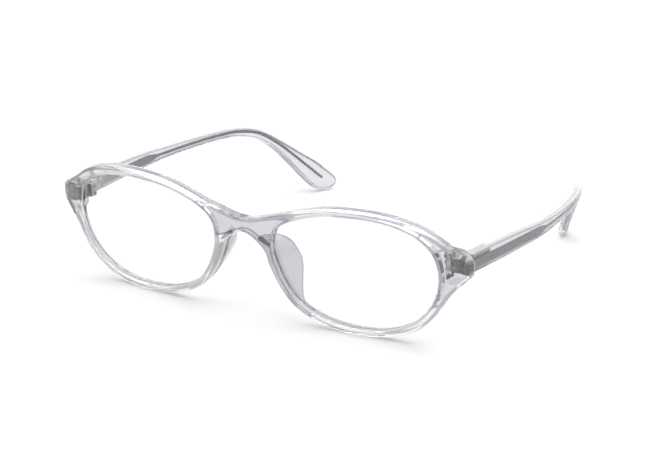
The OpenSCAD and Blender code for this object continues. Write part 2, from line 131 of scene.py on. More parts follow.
# The tip rounds off over a length of this share of its height, and ends at these shares of its
# height and thickness
TIP_ROUND = 0.55
TIP_LEAST = math.sqrt(0.003)
TIP_THIN = 0.35

# Core wires: a flat blade that tapers to a round wire
WIRE_D = 1
BLADE_H = 2.7
BLADE_T = 1
BLADE_L = 39
BLADE_R = 0.2
BLADE_TAPER = 7
WIRE_INSET = 0.4
# Least flat left beside a rounded corner
WIRE_FLAT = 0.02

# Nose pads: size and splay, where they start, end and are deepest along the outline, how far they
# stand in from it and reach into the front, and their least depth
PAD_DEPTH = 9.5
PAD_T = 2.2
PAD_SPLAY = math.radians(12)
PAD_FROM = 17.3
PAD_TO = 21.4
PAD_PEAK = 0.62
PAD_INSET = 0.75
PAD_ROOT = 0.4
PAD_LOW = 0.4
# Thickness of the two ends, as a share of the middle's
PAD_THIN = 0.45
# The edge's rounding, as a share of half the thickness and at most a share of the depth
PAD_ROUND = 0.9
PAD_ROUND_MOST = 0.45

# Fineness of the meshes: steps between two points of an outline and of a temple's line, steps
# round an edge, a lip and a wire's corner, and rows across the front and back faces
OUTLINE_STEPS = 14
TEMPLE_STEPS = 12
EDGE_STEPS = 7
LIP_STEPS = 4
WIRE_STEPS = 4
FACE_SHARES = (0.04, 0.1, 0.2, 0.35, 0.5, 0.65, 0.8, 0.92)
# Rings across a lens, and a pad's steps along the rim, which crowd towards its end, and round it
LENS_RINGS = 10
PAD_STEPS = 56
PAD_CROWDING = 1.6
PAD_ARC = 12
# The last stretch of the tip, as a share of the line's last part, has steps of its own
TIP_STEPS = 8
TIP_STRETCH = 0.08
# Faces that meet more steeply have a sharp edge, and points that lie closer are merged
SMOOTH_ANGLE = math.radians(32)
MERGE_WITHIN = 0.0005

# A place round a lens: the opening's edge, the front's outline, and the way out from each
FrontStation = namedtuple("FrontStation", "lens lens_out outer outer_out")
# A place along a temple: its centre and directions, reach above and below, and way along it
TempleStation = namedtuple("TempleStation", "place side up above below way")


def mix(a, b, t):
    return a + (b - a) * t


def ease(t):
    """Smooth step from 0 to 1."""
    c = min(1, max(0, t))
    return c * c * (3 - 2 * c)


def turn_left(v):
    """Unit direction a quarter turn to the left of v."""
    return np.array([-v[1], v[0]]) / np.hypot(v[0], v[1])


def curve(p, q, m, n, t):
    """Cubic curve from p to q with slopes m and n."""
    return (
        (2 * t**3 - 3 * t**2 + 1) * p
        + (t**3 - 2 * t**2 + t) * m
        + (3 * t**2 - 2 * t**3) * q
        + (t**3 - t**2) * n
    )


def curve_slope(p, q, m, n, t):
    """Slope of that curve."""
    return (6 * t**2 - 6 * t) * (p - q) + (3 * t**2 - 4 * t + 1) * m + (3 * t**2 - 2 * t) * n


# Outlines of the front: the lens opening is a closed curve and the outer outline an open one,
# which starts and ends in the middle of the bridge
lens_x = LENS_GAP / 2 + LENS_W / 2
lens_points = np.array(LENS_SHARE) * [LENS_W / 2, LENS_H / 2] + [lens_x, 0]
lens_slopes = (np.roll(lens_points, -1, axis=0) - np.roll(lens_points, 1, axis=0)) / 2
count = len(lens_points)
end_x = LENS_GAP / 2 + LENS_W + END_REACH
end_top = END_RISE + END_H / 2
end_foot = END_RISE - END_H / 2
bridge_foot = BRIDGE_RISE - BRIDGE_H
nose_x = LENS_GAP / 2
# Width of the rim at the points that follow the lens opening
rim_widths = {
    2: RIM_TOP, 3: RIM_TOP, 4: RIM_TOP, 5: RIM_TOP * 1.05, 6: RIM_TOP * 1.15, 7: RIM_TOP * 1.4,
    12: RIM_BOTTOM * 1.25, 13: RIM_BOTTOM * 1.2, 14: RIM_BOTTOM, 15: RIM_BOTTOM,
    16: RIM_BOTTOM, 17: RIM_BOTTOM, 18: RIM_NOSE, 19: RIM_NOSE, 20: RIM_NOSE * 1.1,
}
# Points of the bridge and the end piece
set_points = {
    0: (0, BRIDGE_RISE),
    1: (nose_x - RIM_TOP * 0.62, BRIDGE_RISE + RIM_TOP * 0.7),
    8: (end_x - END_REACH * 0.73, end_top + END_H * 0.73),
    9: (end_x, end_top - END_H * 0.035),
    10: (end_x, end_foot + END_H * 0.12),
    11: (end_x - END_REACH * 0.62, end_foot - END_H * 0.9),
    21: (nose_x - RIM_NOSE * 1.5, bridge_foot - BRIDGE_H * 0.81),
    22: (0, bridge_foot),
}
outline_points = np.array([
    set_points[i] if i in set_points else lens_points[i] + rim_widths[i] * turn_left(lens_slopes[i])
    for i in range(count)
], float)
mirror_x = np.array([-1, 1])
around = np.vstack([outline_points[1] * mirror_x, outline_points, outline_points[-2] * mirror_x])
outline_slopes = (around[2:] - around[:-2]) / 2
outline_slopes[END_CORNERS] *= CORNER_SLOPE


def lens_at(i, t):
    """Place and outward direction of the opening's edge, at share t between point i and the next."""
    n = (i + 1) % count
    ends = lens_points[i], lens_points[n], lens_slopes[i], lens_slopes[n]
    return curve(*ends, t), turn_left(curve_slope(*ends, t))


def outline_at(i, t):
    """Place and outward direction of the outline, at share t between point i and the next."""
    if t == 0:
        return outline_points[i], turn_left(outline_slopes[i])
    ends = outline_points[i], outline_points[i + 1], outline_slopes[i], outline_slopes[i + 1]
    return curve(*ends, t), turn_left(curve_slope(*ends, t))


def middle_at(t):
    """The outline where it runs up the middle of the bridge."""
    if t == 0:
        return np.array([0, bridge_foot]), np.array([0, -1])
    return np.array([0, mix(bridge_foot + EDGE_R, BRIDGE_RISE - EDGE_R, t)]), np.zeros(2)


def front_stations(steps):
    """Places all round the left lens, with this many steps from point to point."""
    made = []
    for i in range(count):
        for k in range(steps):
            t = k / steps
            outer = middle_at(t) if i == count - 1 else outline_at(i, t)
            made.append(FrontStation(*lens_at(i, t), *outer))
    return made


# The front's curve, lean and depth
curl_start = end_x - END_REACH - CURL_LEAD


def bend(x):
    """How far the front's face lies back at x."""
    curl = END_CURL * (max(0, x - curl_start) / (end_x - curl_start)) ** 2
    return FRONT_CURVE - math.sqrt(FRONT_CURVE**2 - x**2) + curl


def lean(x, v, d):
    """Place of a point of the front: x, height v before the lean, depth d behind its face."""
    y = bend(x) + d
    return np.array([
        x,
        y * math.cos(FRONT_LEAN) - v * math.sin(FRONT_LEAN),
        v * math.cos(FRONT_LEAN) + y * math.sin(FRONT_LEAN),
    ])


end_back = lean(end_x, END_RISE, END_T)[1]
shelf_start = end_x - END_REACH + LIP_R


def depth(x, v):
    """The front's thickness, which grows to an upright back face at the hinge."""
    plane = (end_back + v * math.sin(FRONT_LEAN)) / math.cos(FRONT_LEAN) - bend(x)
    along = ease((x - shelf_start) / SHELF_RUN)
    across = ease((SHELF_REACH - abs(v - END_RISE)) / SHELF_FADE)
    return mix(RIM_T, plane, along * across)


groove_front = (RIM_T - LENS_T) / 2 - SET_GAP
groove_back = groove_front + LENS_T + 2 * SET_GAP
groove_d = LENS_BITE + SET_GAP


def quarter(r, steps):
    """Inset and depth of the points of a rounded edge, from the face to the side."""
    angles = [math.pi / 2 * k / steps for k in range(steps + 1)]
    return [(r * (1 - math.sin(a)), r * (1 - math.cos(a))) for a in angles]


def front_section():
    """One cross-section of a rim: share from lens to outline, inset, and depth from front or back."""
    lip = quarter(LIP_R, LIP_STEPS)
    edge = quarter(EDGE_R, EDGE_STEPS)
    rows = [(0, a, 0, b) for a, b in lip]
    rows += [(0, 0, 0, groove_front), (0, groove_d, 0, groove_front)]
    rows += [(0, groove_d, 0, groove_back), (0, 0, 0, groove_back)]
    rows += [(0, a, 1, -b) for a, b in reversed(lip)]
    rows += [(s, 0, 1, 0) for s in FACE_SHARES]
    rows += [(1, a, 1, -b) for a, b in edge]
    rows += [(1, a, 0, b) for a, b in reversed(edge)]
    rows += [(s, 0, 0, 0) for s in reversed(FACE_SHARES)]
    return rows


def rim_point(station, share, inset, back):
    """A point of a station: at the lens, at the outline, or a share of the way between the two."""
    lens, lens_out, outer, outer_out = station
    if share == 0:
        return lens + inset * lens_out
    drawn = back * END_DRAFT * ease(1 + (outer[0] - end_x) / END_REACH) * DRAFT_WAY
    if share == 1:
        return outer - inset * outer_out - drawn
    return mix(lens + LIP_R * lens_out, outer - EDGE_R * outer_out - drawn, share)


def front_ring(station, section):
    ring = []
    for share, inset, back, offset in section:
        x, v = rim_point(station, share, inset, back)
        ring.append(lean(x, v, (depth(x, v) if back else 0) + offset))
    return ring


def half_front():
    """The front's left half, as one ring of points for each station."""
    section = front_section()
    return np.array([front_ring(s, section) for s in front_stations(OUTLINE_STEPS)])


# The front's solid says where it stands, and the hinges are placed from its end pieces
half = half_front()
front_low = np.array(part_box("front")[0]) / MM
front_shift = np.array([0, front_low[1] - half[..., 1].min(), front_low[2] - half[..., 2].min()])
back_y = end_back + front_shift[1]
hinge_z = lean(end_x, END_RISE, END_T)[2] + front_shift[2]
joint_x = end_x - END_DRAFT - JOINT_INSET - TEMPLE_T / 2
joint_y = back_y + JOINT_GAP


# Mesh helpers
def close_up(mesh):
    """Merges points that lie together and turns every face outward."""
    work = bmesh.new()
    work.from_mesh(mesh)
    bmesh.ops.remove_doubles(work, verts=work.verts, dist=MERGE_WITHIN * MM)
    bmesh.ops.recalc_face_normals(work, faces=work.faces)
    work.to_mesh(mesh)
    work.free()


def shade(mesh):
    """Smooth shading, with sharp edges only where faces meet steeply."""
    mesh.shade_smooth()
    mesh.set_sharp_from_angle(angle=SMOOTH_ANGLE)


def new_object(name, points, faces, *materials, slots=None):
    """A mesh object from points in millimetres. Each face's slot says which material it has."""
    mesh = bpy.data.meshes.new(name)
    mesh.from_pydata([tuple(p) for p in np.array(points) * MM], [], faces)
    for material in materials:
        mesh.materials.append(material)
    if slots:
        mesh.polygons.foreach_set("material_index", slots)
    mesh.validate()
    close_up(mesh)
    shade(mesh)
    obj = bpy.data.objects.new(name, mesh)
    bpy.context.scene.collection.objects.link(obj)
    obj.modifiers.new("weigh", "WEIGHTED_NORMAL").keep_sharp = True
    return obj


def combine(obj, other, operation):
    """Joins the other object to obj, or takes it away from obj, and deletes it."""
    step = obj.modifiers.new("combine", "BOOLEAN")
    step.operation = operation
    step.solver = "MANIFOLD"
    step.object = other
    bpy.context.view_layer.objects.active = obj
    bpy.ops.object.modifier_move_to_index(modifier=step.name, index=0)
    bpy.ops.object.modifier_apply(modifier=step.name)
    mesh = other.data
    bpy.data.objects.remove(other)
    bpy.data.meshes.remove(mesh)


def carve(obj, low, high, turn=0, at=(0, 0, 0)):
    """Takes a box away from obj. The box can be turned about an upright line through at."""
    corners = [
        (x, y, z) for z in (low[2], high[2]) for y in (low[1], high[1]) for x in (low[0], high[0])
    ]
    faces = [(0, 2, 3, 1), (4, 5, 7, 6), (0, 1, 5, 4), (2, 6, 7, 3), (0, 4, 6, 2), (1, 3, 7, 5)]
    mesh = bpy.data.meshes.new("cutter")
    mesh.from_pydata([tuple(c * MM for c in p) for p in corners], [], faces)
    place = Vector([c * MM for c in at])
    mesh.transform(Matrix.Translation(place) @ Matrix.Rotation(turn, 4, "Z"))
    cutter = bpy.data.objects.new("cutter", mesh)
    bpy.context.scene.collection.objects.link(cutter)
    combine(obj, cutter, "DIFFERENCE")


def ring_faces(rings, size, closed=False):
    """Four-sided faces between rings of points that follow each other in one list."""
    faces = []
    for k in range(rings if closed else rings - 1):
        a, b = k * size, (k + 1) % rings * size
        for j in range(size):
            n = (j + 1) % size
            faces.append((a + j, a + n, b + n, b + j))
    return faces


def end_faces(rings, size):
    """The two faces that close a tube of rings."""
    last = (rings - 1) * size
    return [tuple(range(size)), tuple(range(last, last + size))]


# Shader helpers
def new_material(name):
    """A material with its node tree, its main shader and its output."""
    made = bpy.data.materials.new(name)
    made.use_nodes = True
    tree = made.node_tree
    shader = tree.nodes["Principled BSDF"]
    return made, tree, shader, tree.nodes["Material Output"]


def noise(tree, scale, detail):
    place = tree.nodes.new("ShaderNodeTexCoord")
    made = tree.nodes.new("ShaderNodeTexNoise")
    made.inputs["Scale"].default_value = scale
    made.inputs["Detail"].default_value = detail
    tree.links.new(place.outputs["Object"], made.inputs["Vector"])
    return made.outputs["Fac"]


def spread(tree, source, low, high, start=0.3, end=0.7):
    """Maps a value between start and end to the range from low to high."""
    made = tree.nodes.new("ShaderNodeMapRange")
    made.inputs["From Min"].default_value = start
    made.inputs["From Max"].default_value = end
    made.inputs["To Min"].default_value = low
    made.inputs["To Max"].default_value = high
    tree.links.new(source, made.inputs["Value"])
    return made.outputs["Result"]


def add_bump(tree, shader, height, strength, distance):
    made = tree.nodes.new("ShaderNodeBump")
    made.inputs["Strength"].default_value = strength
    made.inputs["Distance"].default_value = distance * MM
    tree.links.new(height, made.inputs["Height"])
    tree.links.new(made.outputs["Normal"], shader.inputs["Normal"])


# Clear plastic: refraction, tint with depth, ripples from the mould, uneven gloss, and the share
# of the lamps' light that it lets through
PLASTIC_IOR = 1.49
DEPTH_TINT = (0.95, 0.95, 0.96)
TINT_DENSITY = 20
RIPPLE_SCALE = 90
RIPPLE_DEPTH = 0.02
RIPPLE = 0.12
ROUGHNESS_SCALE = 2600
ROUGHNESS = (0, 0.02)
LAMP_SHARE = 0.35


def pass_lamps(tree, shader, out):
    """Lets some of the lamps' light through clear plastic, so that its shadow stays pale."""
    path = tree.nodes.new("ShaderNodeLightPath")
    clear = tree.nodes.new("ShaderNodeBsdfTransparent")
    clear.inputs["Color"].default_value = (LAMP_SHARE, LAMP_SHARE, LAMP_SHARE, 1)
    both = tree.nodes.new("ShaderNodeMixShader")
    tree.links.new(path.outputs["Is Shadow Ray"], both.inputs[0])
    tree.links.new(shader.outputs[0], both.inputs[1])
    tree.links.new(clear.outputs[0], both.inputs[2])
    tree.links.new(both.outputs[0], out.inputs["Surface"])


def clear_plastic(name, colour, clear, depth_tint=DEPTH_TINT, rough=ROUGHNESS, ripple=RIPPLE):
    """Polished clear plastic with a surface tint.

    With clear below 1 it is a little milky, so that it takes up some light from above.
    """
    made, tree, shader, out = new_material(name)
    shader.inputs["Base Color"].default_value = (*colour, 1)
    shader.inputs["Transmission Weight"].default_value = clear
    shader.inputs["IOR"].default_value = PLASTIC_IOR
    flow = noise(tree, RIPPLE_SCALE, 2)
    fine = noise(tree, ROUGHNESS_SCALE, 4)
    tree.links.new(spread(tree, fine, *rough), shader.inputs["Roughness"])
    add_bump(tree, shader, flow, ripple, RIPPLE_DEPTH)
    absorb = tree.nodes.new("ShaderNodeVolumeAbsorption")
    absorb.inputs["Color"].default_value = (*depth_tint, 1)
    absorb.inputs["Density"].default_value = TINT_DENSITY
    tree.links.new(absorb.outputs[0], out.inputs["Volume"])
    pass_lamps(tree, shader, out)
    return made


# Metal: where its stain starts and ends in the noise, how much finer its marks are than the
# stain, and their depth
STAIN_RANGE = (0.35, 0.65)
MARKS_FINER = 9
MARKS_DEPTH = 0.03
# Painted shade: the range of the normal's forward and inward part over which a face darkens
FORWARD_RANGE = (-0.9, -0.3)
INWARD_RANGE = (0.2, 0.7)


def paint_side_shade(tree, colour, level, side):
    """Painted shade: darkens the faces that look forward, and with side those that look inward."""
    place = tree.nodes.new("ShaderNodeTexCoord")
    parts = tree.nodes.new("ShaderNodeSeparateXYZ")
    tree.links.new(place.outputs["Normal"], parts.inputs[0])
    share = spread(tree, parts.outputs["Y"], level, 1, *FORWARD_RANGE)
    if side:
        least = tree.nodes.new("ShaderNodeMath")
        least.operation = "MINIMUM"
        tree.links.new(share, least.inputs[0])
        inward = [-side * end for end in INWARD_RANGE]
        tree.links.new(spread(tree, parts.outputs["X"], 1, level, *inward), least.inputs[1])
        share = least.outputs[0]
    shaded = tree.nodes.new("ShaderNodeVectorMath")
    shaded.operation = "SCALE"
    tree.links.new(colour, shaded.inputs[0])
    tree.links.new(share, shaded.inputs["Scale"])
    return shaded.outputs[0]


def metal(name, colour, dark, rough, scale, bump, shade_level=1, side=0):
    """Metal with a slight stain, uneven gloss, fine tool marks and, if asked, painted shade on some
    faces.
    """
    made, tree, shader, _ = new_material(name)
    shader.inputs["Metallic"].default_value = 1
    ramp = tree.nodes.new("ShaderNodeValToRGB")
    for stop, position, shown in zip(ramp.color_ramp.elements, STAIN_RANGE, (dark, colour)):
        stop.position = position
        stop.color = (*shown, 1)
    tree.links.new(noise(tree, scale, 5), ramp.inputs["Fac"])
    stain_and_shade = ramp.outputs["Color"]
    # Painted shade on the faces that look forward or inward
    if shade_level < 1:
        stain_and_shade = paint_side_shade(tree, stain_and_shade, shade_level, side)
    tree.links.new(stain_and_shade, shader.inputs["Base Color"])
    marks = noise(tree, scale * MARKS_FINER, 3)
    tree.links.new(spread(tree, marks, *rough), shader.inputs["Roughness"])
    add_bump(tree, shader, marks, bump, MARKS_DEPTH)
    return made


# The front's plastics in the order of its slots: surface tint, and how clear each is. The tints hold
# painted light and shade: white rounded edges are a painted highlight, darker broad faces painted
# shade
FRONT_LOOKS = {
    "edge_highlight_plastic": ((1, 1, 1), 0.88),
    "narrow_shade_plastic": ((0.93, 0.93, 0.95), 0.8),
    "middling_shade_plastic": ((0.76, 0.76, 0.79), 0.84),
    "broad_shade_plastic": ((0.62, 0.62, 0.65), 0.92),
    "pad_plastic": ((0.6, 0.6, 0.63), 0.7),
    "nose_plastic": ((1, 1, 1), 0.7),
}
EDGE_HIGHLIGHT, NARROW_SHADE, MIDDLING_SHADE, BROAD_SHADE, PAD, NOSE = range(len(FRONT_LOOKS))
front_plastics = [clear_plastic(name, *look) for name, look in FRONT_LOOKS.items()]
temple_plastic = clear_plastic("temple_plastic", (0.72, 0.72, 0.76), 0.9)
# Painted highlight: the temples' top and bottom faces and rounded edges are lighter than their sides
crown_highlight_plastic = clear_plastic("crown_highlight_plastic", (0.87, 0.88, 0.9), 0.66)
lens_plastic = clear_plastic(
    "lens_plastic", (1, 1, 1), 1, depth_tint=(0.97, 0.98, 0.98), rough=(0, 0.004), ripple=0
)
# Hinge blocks: painted shade on forward faces, and on the right one also on inward faces
shaded_hinge_metals = {
    name: metal(
        f"hinge_metal_{name}", (0.84, 0.82, 0.78), (0.38, 0.36, 0.33), (0.18, 0.36), 1300, 0.5,
        shade_level=0.38, side=side,
    )
    for name, side in (("left", 0), ("right", -1))
}
leaf_metal = metal("leaf_metal", (0.36, 0.355, 0.35), (0.2, 0.195, 0.19), (0.16, 0.3), 700, 0.25)
screw_metal = metal("screw_metal", (0.6, 0.6, 0.6), (0.35, 0.35, 0.35), (0.18, 0.3), 1500, 0.2)
core_metal = metal("core_metal", (0.25, 0.25, 0.26), (0.2, 0.2, 0.21), (0.3, 0.42), 500, 0.15)

# The front's slots from narrow to broad, in painted shade that darkens as the front widens, and the
# widths at which one takes over from the other
SHADE_SLOTS = (NARROW_SHADE, MIDDLING_SHADE, BROAD_SHADE)
SHADE_WIDTHS = (3.3, 4.6)


def front_slots(faces, size):
    """Each face's slot: white and clear at the lens and the rounded edges, as a painted highlight,
    hazy beside the nose, and elsewhere in painted shade that darkens as the front widens."""
    rows = front_section()
    widths = [np.hypot(*(s.outer - s.lens)) for s in front_stations(OUTLINE_STEPS)]
    made = []
    for face in faces:
        ring, row = divmod(face[0], size)
        (share, _, back, _), (next_share, _, next_back, _) = rows[row], rows[(row + 1) % size]
        at_lens = share == next_share == 0
        if not at_lens and PAD_FROM < ring / OUTLINE_STEPS < PAD_TO:
            slot = NOSE
        elif share != next_share:
            # Painted shade, darker where the front is broader
            slot = SHADE_SLOTS[sum(widths[ring] > w for w in SHADE_WIDTHS)]
        elif not at_lens and back != next_back:
            slot = MIDDLING_SHADE
        else:
            slot = EDGE_HIGHLIGHT
        made.append(slot)
    return made


def make_front():
    """Both rims, the bridge, the end pieces and the nose pads in one moulding with hinge seats."""
    rings, size = half.shape[:2]
    points = half.reshape(-1, 3)
    # The two halves are open where they meet
    faces = [f for f in ring_faces(rings, size, closed=True) if points[list(f), 0].max() > 0]
    flipped = [tuple(i + len(points) for i in reversed(f)) for f in faces]
    points = np.vstack([points, points * [-1, 1, 1]]) + front_shift
    slots = front_slots(faces, size) * 2
    made = new_object("front_plastic", points, faces + flipped, *front_plastics, slots=slots)
    outer = end_x - END_DRAFT - ANCHOR_WALL
    low = np.array([outer - ANCHOR_W, back_y - ANCHOR_T, hinge_z - HINGE_H / 2]) + SUNK
    high = np.array([outer, back_y + ANCHOR_T, hinge_z + HINGE_H / 2]) - SUNK
    carve(made, low, high)
    carve(made, (-high[0], low[1], low[2]), (-low[0], high[1], high[2]))
    for side in (1, -1):
        combine(made, make_pad(side), "UNION")
    shade(made.data)
    return made


def make_lens(name, side):
    """A domed disc, in rings from the middle of its front face to the middle of its back face."""
    edge = [s.lens + LENS_BITE * s.lens_out for s in front_stations(OUTLINE_STEPS // 2)]
    centre = np.array([lens_x, 0])
    shares = [1 - k / LENS_RINGS for k in range(LENS_RINGS)]
    base = groove_front + SET_GAP
    rings = []
    for face, order in ((0, reversed(shares)), (LENS_T, shares)):
        for h in order:
            d = base + face - LENS_DOME * (1 - h * h)
            rings.append([lean(*mix(centre, p, h), d) for p in edge])
    size = len(edge)
    faces = ring_faces(len(rings), size)
    points = [p for ring in rings for p in ring]
    for ring, face in ((0, 0), (len(rings) - 1, LENS_T)):
        points.append(lean(*centre, base + face - LENS_DOME))
        start = ring * size
        faces += [(start + j, start + (j + 1) % size, len(points) - 1) for j in range(size)]
    points = (np.array(points) + front_shift) * [side, 1, 1]
    return new_object(name, points, faces, lens_plastic)


def pad_ring(share):
    """One cross-section of a pad, at a share of the way along the rim."""
    s = mix(PAD_FROM, PAD_TO, share)
    p, out = outline_at(int(s), s - int(s))
    past = max(0, share - PAD_PEAK) / (1 - PAD_PEAK)
    swell = ease(share / PAD_PEAK) * math.sqrt(1 - past**2)
    reach = max(PAD_LOW, PAD_DEPTH * swell)
    half_t = PAD_T / 2 * mix(PAD_THIN, 1, swell)
    r = min(half_t * PAD_ROUND, reach * PAD_ROUND_MOST)
    shape = [(-half_t, -PAD_ROOT), (half_t, -PAD_ROOT)]
    for k in range(PAD_ARC + 1):
        a = math.pi * k / PAD_ARC
        shape.append((half_t * math.cos(a), reach - r + r * math.sin(a)))
    ring = []
    for across, d in shape:
        q = p - out * PAD_INSET - out * across
        x = q[0] + d * math.sin(PAD_SPLAY)
        rise = lean(0, 0, RIM_T + d * math.cos(PAD_SPLAY)) - lean(0, 0, 0)
        rise[1] += (bend(q[0]) - bend(x)) * math.cos(FRONT_LEAN)
        ring.append(lean(x, q[1], 0) + rise)
    return ring


def make_pad(side):
    """A rounded fin that stands on the back of the rim beside the nose."""
    rings = [pad_ring(1 - (1 - k / PAD_STEPS) ** PAD_CROWDING) for k in range(PAD_STEPS + 1)]
    size = len(rings[0])
    faces = ring_faces(len(rings), size) + end_faces(len(rings), size)
    points = (np.array([p for ring in rings for p in ring]) + front_shift) * [side, 1, 1]
    return new_object("pad", points, faces, *front_plastics, slots=[PAD] * len(faces))


# Temple line: share of the length, bow, turn, fall, and reach above and below the wire
rise_h = TEMPLE_H * 0.6
base_h = TEMPLE_H * 0.4
slim_up = TEMPLE_SLIM * 0.52
slim_down = TEMPLE_SLIM * 0.48
TEMPLE_ROWS = (
    (0, 0, 0, 0, rise_h, base_h),
    (0.115, 0.39, 0, -0.013, rise_h * 0.98, base_h * 1.02),
    (0.229, 0.72, 0, -0.022, mix(slim_up, rise_h, 0.8), mix(slim_down, base_h, 0.9)),
    (0.335, 0.93, 0, -0.025, mix(slim_up, rise_h, 0.5), mix(slim_down, base_h, 0.68)),
    (0.437, 0.78, 0, -0.031, mix(slim_up, rise_h, 0.28), mix(slim_down, base_h, 0.35)),
    (0.545, 0.39, 0, -0.04, slim_up * 1.12, slim_down * 1.2),
    (0.632, 0, -0.03, -0.047, slim_up, slim_down * 1.17),
    (0.699, 0, -0.14, -0.042, slim_up * 0.85, slim_down * 1.3),
    (0.766, 0, -0.28, 0.036, slim_up * 0.8, slim_down * 1.58),
    (0.826, 0, -0.44, 0.245, TIP_H * 0.17, TIP_H * 0.3),
    (0.88, 0, -0.62, 0.516, TIP_H * 0.3, TIP_H * 0.45),
    (0.925, 0, -0.765, 0.75, TIP_H * 0.45, TIP_H * 0.59),
    (0.958, 0, -0.86, 0.905, TIP_H * 0.43, TIP_H * 0.57),
    (1, 0, -1, 1, TIP_H * 0.25, TIP_H * 0.37),
)
blade_z = hinge_z - BLADE_FALL
temple_fall = blade_z - TIP_LIFT
temple_line = np.array([
    (
        joint_x + bow * TEMPLE_BOW + turn * TEMPLE_TURN,
        joint_y + share * TEMPLE_L,
        blade_z - fall * temple_fall,
        up,
        down,
    )
    for share, bow, turn, fall, up, down in TEMPLE_ROWS
])
line_slopes = np.gradient(temple_line, axis=0)
# The temple starts at this angle to straight back, and the hinge's leaf lies along it
first_bend = temple_line[1] - temple_line[0]
leaf_angle = math.atan2(first_bend[0], first_bend[1])


def temple_stations():
    """Places along the left temple, from its hinge to the end of its tip."""
    last = len(temple_line) - 2
    spots = [(i, k / TEMPLE_STEPS) for i in range(last + 1) for k in range(TEMPLE_STEPS)]
    # The broad end rounds off quickly, so its last stretch has finer steps
    spots += [(last, 1 - TIP_STRETCH * (1 - k / TIP_STEPS) ** 2) for k in range(1, TIP_STEPS + 1)]
    made, way, before = [], 0, temple_line[0, :3]
    for i, t in sorted(spots):
        ends = temple_line[i], temple_line[i + 1], line_slopes[i], line_slopes[i + 1]
        p, slope = curve(*ends, t), curve_slope(*ends, t)
        forward = slope[:3] / np.linalg.norm(slope[:3])
        up = np.array([0, -forward[2], forward[1]]) / np.hypot(forward[1], forward[2])
        way += np.linalg.norm(p[:3] - before)
        before = p[:3]
        made.append(TempleStation(p[:3], np.cross(forward, up), up, p[3], p[4], way))
    return made


def oblong(b, up, down, r, steps):
    """Rounded oblong: half width, reach up, reach down, rounding and steps at each corner."""
    shape = []
    for c in range(4):
        x = (b - r) * (1 if c in (0, 3) else -1)
        z = up - r if c < 2 else r - down
        for s in range(steps + 1):
            a = math.radians(90 * c + 90 * s / steps)
            shape.append((x + r * math.cos(a), z + r * math.sin(a)))
    return shape


def ring_at(station, shape):
    return [station.place + x * station.side + z * station.up for x, z in shape]


stations = temple_stations()
temple_end = stations[-1].way
tip_round = TIP_H * TIP_ROUND


def skin_ring(station):
    """The temple's outer shape at a station, drawn in where the tip rounds off."""
    past = max(0, station.way - temple_end + tip_round) / tip_round
    share = max(TIP_LEAST, math.sqrt(1 - min(1, past) ** 2))
    b = mix(TEMPLE_T, TIP_T, station.way / temple_end) / 2 * mix(TIP_THIN, 1, share)
    up, down = station.above * share, station.below * share
    r = min(TEMPLE_R, ROUND_MOST * b, ROUND_MOST * (up + down) / 2)
    return ring_at(station, oblong(b, up, down, r, EDGE_STEPS))


skin = np.array([skin_ring(s) for s in stations])
fall_scale = hinge_z / (hinge_z - skin[..., 2].min())


def stretch_fall(points):
    """Brings the tip down to the ground, as the frame does."""
    made = np.array(points, float)
    made[:, 2] = hinge_z - (hinge_z - made[:, 2]) * fall_scale
    return made


def tube_object(name, rings, side, *materials, edges=()):
    """A closed tube through the rings. Faces that start at these edges get the second material, which
    on the temples is a painted highlight.
    """
    size = len(rings[0])
    faces = ring_faces(len(rings), size)
    slots = [int(f[0] % size in edges) for f in faces] + [0, 0]
    faces += end_faces(len(rings), size)
    points = stretch_fall([p for ring in rings for p in ring]) * [side, 1, 1]
    return new_object(name, points, faces, *materials, slots=slots)


def make_temple(name, side):
    # Painted highlight on all but the two flat sides, which are the last faces of the second and the
    # fourth corner
    corner = EDGE_STEPS + 1
    edges = set(range(4 * corner)) - {2 * corner - 1, 4 * corner - 1}
    made = tube_object(name, skin, side, temple_plastic, crown_highlight_plastic, edges=edges)
    # The leaf's seat is open to the inner side, and is placed from the joint
    near, far = -TEMPLE_T, -TEMPLE_T / 2 + LEAF_T - SUNK
    low = (min(side * near, side * far), LEAF_START + SUNK, -HINGE_H / 2 + SUNK)
    high = (max(side * near, side * far), LEAF_START + LEAF_L - SUNK, HINGE_H / 2 - SUNK)
    carve(made, low, high, -side * leaf_angle, (side * joint_x, joint_y, hinge_z))
    return made


def wire_ring(station):
    """The core at a station: a flat blade that turns into a round wire."""
    m = ease((station.way - BLADE_L) / BLADE_TAPER)
    b, h = mix(BLADE_T, WIRE_D, m) / 2, mix(BLADE_H, WIRE_D, m) / 2
    r = min(mix(BLADE_R, WIRE_D / 2 - WIRE_FLAT, m), b - WIRE_FLAT)
    return ring_at(station, oblong(b, h, h, r, WIRE_STEPS))


def make_wire(name, side):
    end_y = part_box("core_wire_left")[1].y / MM
    inside = [s for s in stations if s.way > WIRE_INSET and s.place[1] < end_y]
    return tube_object(name, [wire_ring(s) for s in inside], side, core_metal)


# Rounding of the metal's edges, the angle from which an edge is rounded, and the distance within
# which its points are merged
BLOCK_ROUND = 0.12
LEAF_ROUND = 0.1
SCREW_ROUND = 0.06
ROUND_ANGLE = math.radians(40)
METAL_MERGE = 0.001


def dress_metal(node, material, width):
    """Puts metal on one of the frame's pieces and takes the sharpness off its edges."""
    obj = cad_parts[node]
    obj.data.materials.clear()
    obj.data.materials.append(material)
    weld = obj.modifiers.new("weld", "WELD")
    weld.merge_threshold = METAL_MERGE * MM
    round_off = obj.modifiers.new("round_off", "BEVEL")
    round_off.width = width * MM
    round_off.segments = 2
    round_off.limit_method = "ANGLE"
    round_off.angle_limit = ROUND_ANGLE
    round_off.use_clamp_overlap = True


def settle(obj, body, slot, *nodes):
    """Fixes obj to its body, where it stands for these nodes of the frame."""
    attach(obj, body)
    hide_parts(*nodes)


